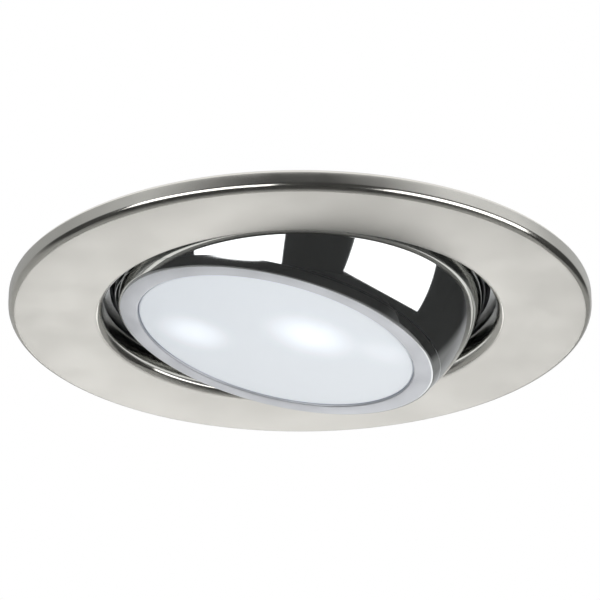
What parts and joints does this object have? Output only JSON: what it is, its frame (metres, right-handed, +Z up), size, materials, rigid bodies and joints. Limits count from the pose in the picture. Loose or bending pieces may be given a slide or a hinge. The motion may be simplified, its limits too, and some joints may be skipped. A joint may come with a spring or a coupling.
{
  "type": "soffit downlight",
  "caption": "Adjustable recessed soffit downlight: round satin flange, chromed ball with frosted lit glass that tilts and swivels, heat sink and folding spring clips behind.",
  "frame": {"origin": "middle of the soffit cut-out, in the plane of the soffit's underside where the flange seats", "axes": "+Z up into the soffit, +X towards the right-hand spring clip, the ball tilts about Y and is shown tilted towards -X"},
  "size_m": [0.09, 0.09, 0.0489],
  "materials": {
    "satin_nickel_steel": "satin face, polished edges",
    "cast_aluminium": "die-cast, fine blasted",
    "swivel_satin": "turned satin",
    "foam_gasket": "closed-cell foam",
    "nylon": "moulded",
    "spring_steel": "bright drawn",
    "zinc_steel": "zinc plated",
    "sleeve_plastic": "extruded PVC",
    "chrome": "bright chrome",
    "satin_silver": "satin anodised",
    "frosted_glass": "frosted inside, smooth outside",
    "silicone": "moulded",
    "reflector_white": "moulded gloss white",
    "led_phosphor": "phosphor under silicone",
    "board_white": "white solder mask",
    "thermal_pad": "gap pad",
    "heat_sink_aluminium": "die-cast",
    "fin_aluminium": "rolled sheet, stamped",
    "black_rubber": "moulded EPDM"
  },
  "bodies": {
    "housing": {"trim_bezel": "satin_nickel_steel", "collar": "cast_aluminium", "soffit_gasket": "foam_gasket", "glide_ring": "nylon", "retaining_ring": "spring_steel", "swivel_stop_pin": "zinc_steel", "spring_pin_left": "zinc_steel", "spring_pin_right": "zinc_steel"},
    "swivel": {"swivel_ring": "swivel_satin", "pivot_screw_far": "zinc_steel", "pivot_screw_near": "zinc_steel", "wave_washer_far": "spring_steel", "wave_washer_near": "spring_steel"},
    "eyeball": {"eyeball_shell": "chrome", "pivot_bush_far": "nylon", "pivot_bush_near": "nylon", "front_ring": "satin_silver", "front_glass": "frosted_glass", "glass_gasket": "silicone", "reflector": "reflector_white", "led_emitters": "led_phosphor", "led_board": "board_white", "led_board_screws": "zinc_steel", "thermal_pad": "thermal_pad", "heat_sink": "heat_sink_aluminium", "cooling_fins": "fin_aluminium", "heat_sink_screws": "zinc_steel", "rear_seal": "silicone", "cable_grommet": "black_rubber"},
    "clip_right": {"spring_right": "spring_steel", "spring_sleeve_right": "sleeve_plastic"},
    "clip_left": {"spring_left": "spring_steel", "spring_sleeve_left": "sleeve_plastic"}
  },
  "joints": [
    {"name": "swivel_turn", "type": "hinge", "parent": "housing", "child": "swivel", "pos_m": [0, 0, 0.00965], "axis": [0, 0, 1], "range_deg": [-172, 172]},
    {"name": "ball_tilt", "type": "hinge", "parent": "swivel", "child": "eyeball", "pos_m": [0, 0, 0.00965], "axis": [0, 1, 0], "range_deg": [-43.15, 16.85]},
    {"name": "spring_right_fold", "type": "hinge", "parent": "housing", "child": "clip_right", "pos_m": [0.0325, 0, 0.0213], "axis": [0, -1, 0], "range_deg": [0, 150], "stiffness_Nm_per_rad": 0.004, "springref_deg": -34.38},
    {"name": "spring_left_fold", "type": "hinge", "parent": "housing", "child": "clip_left", "pos_m": [-0.0325, 0, 0.0213], "axis": [0, 1, 0], "range_deg": [0, 150], "stiffness_Nm_per_rad": 0.004, "springref_deg": -34.38}
  ]
}
